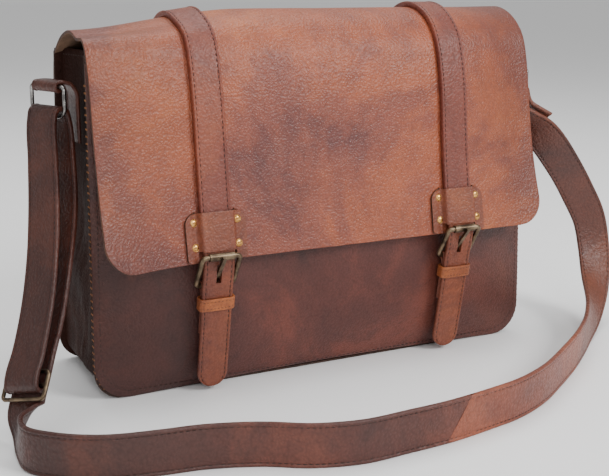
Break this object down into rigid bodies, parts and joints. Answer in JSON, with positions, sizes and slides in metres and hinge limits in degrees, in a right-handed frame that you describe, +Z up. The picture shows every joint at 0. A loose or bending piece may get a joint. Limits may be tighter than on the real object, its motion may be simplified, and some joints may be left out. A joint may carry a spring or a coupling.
{
  "type": "satchel bag",
  "caption": "Leather messenger satchel with a full front flap closed by buckled straps, gusseted body, D-rings and an adjustable shoulder strap laid in front.",
  "frame": {"origin": "centre of the bag's base, on the surface it stands on; the shoulder strap lies in front of the bag and isn't counted in that centre", "axes": "+X across the bag to the viewer's right, +Y from the front to the back, +Z up"},
  "size_m": [0.5894, 0.2937, 0.299],
  "materials": {
    "panel_leather": "waxed, pebbled, satin",
    "gusset_leather": "waxed, creased, satin",
    "lining_cotton": "plain woven cotton, matt",
    "flap_leather": "burnished pull-up, pebbled, semi-gloss",
    "strap_leather": "burnished, folded edges, semi-gloss",
    "patch_leather": "burnished, pebbled, semi-gloss",
    "keeper_leather": "tan, satin",
    "carry_leather": "burnished, creased, satin",
    "rivet_brass": "worn, semi-gloss",
    "aged_brass": "antique, darkened, satin",
    "snap_steel": "plated, satin",
    "dark_nickel": "dark plated, gloss"
  },
  "bodies": {
    "bag": {"front_panel": "panel_leather", "back_panel": "panel_leather", "gusset": "gusset_leather", "lining": "lining_cotton", "inner_pocket": "lining_cotton", "strap_back_left": "strap_leather", "snap_socket_left": "snap_steel", "tab_base_left": "carry_leather", "strap_back_right": "strap_leather", "snap_socket_right": "snap_steel", "tab_base_right": "carry_leather"},
    "flap_saddle": {"flap_saddle": "flap_leather", "strap_top_left": "strap_leather", "strap_top_right": "strap_leather"},
    "flap_drop": {"flap_drop": "flap_leather", "strap_front_left": "strap_leather", "patch_left": "patch_leather", "rivets_left": "rivet_brass", "buckle_frame_left": "aged_brass", "chape_left": "patch_leather", "snap_stud_left": "snap_steel", "strap_front_right": "strap_leather", "patch_right": "patch_leather", "rivets_right": "rivet_brass", "buckle_frame_right": "aged_brass", "chape_right": "patch_leather", "snap_stud_right": "snap_steel"},
    "roller_left": {"roller_left": "aged_brass"},
    "prong_left": {"prong_left": "aged_brass"},
    "keeper_left": {"keeper_left": "keeper_leather"},
    "roller_right": {"roller_right": "aged_brass"},
    "prong_right": {"prong_right": "aged_brass"},
    "keeper_right": {"keeper_right": "keeper_leather"},
    "shoulder_strap": {"carry_strap_long": "carry_leather", "carry_strap_short": "carry_leather", "tab_roll_left": "carry_leather", "tab_roll_right": "carry_leather"},
    "d_ring_left": {"d_ring_left": "dark_nickel"},
    "d_ring_right": {"d_ring_right": "dark_nickel"},
    "strap_slider": {"strap_slider": "aged_brass"}
  },
  "joints": [
    {"name": "flap_rear_fold", "type": "hinge", "parent": "bag", "child": "flap_saddle", "pos_m": [0, 0.0323, 0.262], "axis": [-1, 0, 0], "range_deg": [0, 180]},
    {"name": "flap_front_fold", "type": "hinge", "parent": "flap_saddle", "child": "flap_drop", "pos_m": [0, -0.04416, 0.28007], "axis": [-1, 0, 0], "range_deg": [0, 85]},
    {"name": "roller_spin_left", "type": "hinge", "parent": "flap_drop", "child": "roller_left", "pos_m": [-0.11, -0.09264, 0.1145], "axis": [1, 0, 0], "continuous": true},
    {"name": "prong_lift_left", "type": "hinge", "parent": "flap_drop", "child": "prong_left", "pos_m": [-0.11, -0.07754, 0.0895], "axis": [1, 0, 0], "range_deg": [0, 9]},
    {"name": "keeper_slide_left", "type": "slide", "parent": "flap_drop", "child": "keeper_left", "axis": [0, 0.1671, -0.9859], "range_m": [-0.002, 0.004]},
    {"name": "roller_spin_right", "type": "hinge", "parent": "flap_drop", "child": "roller_right", "pos_m": [0.11, -0.09264, 0.1145], "axis": [1, 0, 0], "continuous": true},
    {"name": "prong_lift_right", "type": "hinge", "parent": "flap_drop", "child": "prong_right", "pos_m": [0.11, -0.07754, 0.0895], "axis": [1, 0, 0], "range_deg": [0, 9]},
    {"name": "keeper_slide_right", "type": "slide", "parent": "flap_drop", "child": "keeper_right", "axis": [0, 0.1671, -0.9859], "range_m": [-0.002, 0.004]},
    {"name": "carry_strap_lift", "type": "hinge", "parent": "bag", "child": "shoulder_strap", "pos_m": [0, -0.017, 0.239], "axis": [-1, 0, 0], "range_deg": [0, 75]},
    {"name": "d_ring_swing_left", "type": "hinge", "parent": "shoulder_strap", "child": "d_ring_left", "pos_m": [-0.216, -0.017, 0.239], "axis": [0.4067, -0.9135, 0], "range_deg": [-5, 5]},
    {"name": "d_ring_swing_right", "type": "hinge", "parent": "shoulder_strap", "child": "d_ring_right", "pos_m": [0.212, -0.017, 0.239], "axis": [0, -1, 0], "range_deg": [-5, 5]},
    {"name": "slider_tilt", "type": "hinge", "parent": "shoulder_strap", "child": "strap_slider", "pos_m": [-0.26097, -0.09693, 0.03941], "axis": [0.5298, -0.8173, 0.2266], "range_deg": [-5, 5]}
  ]
}
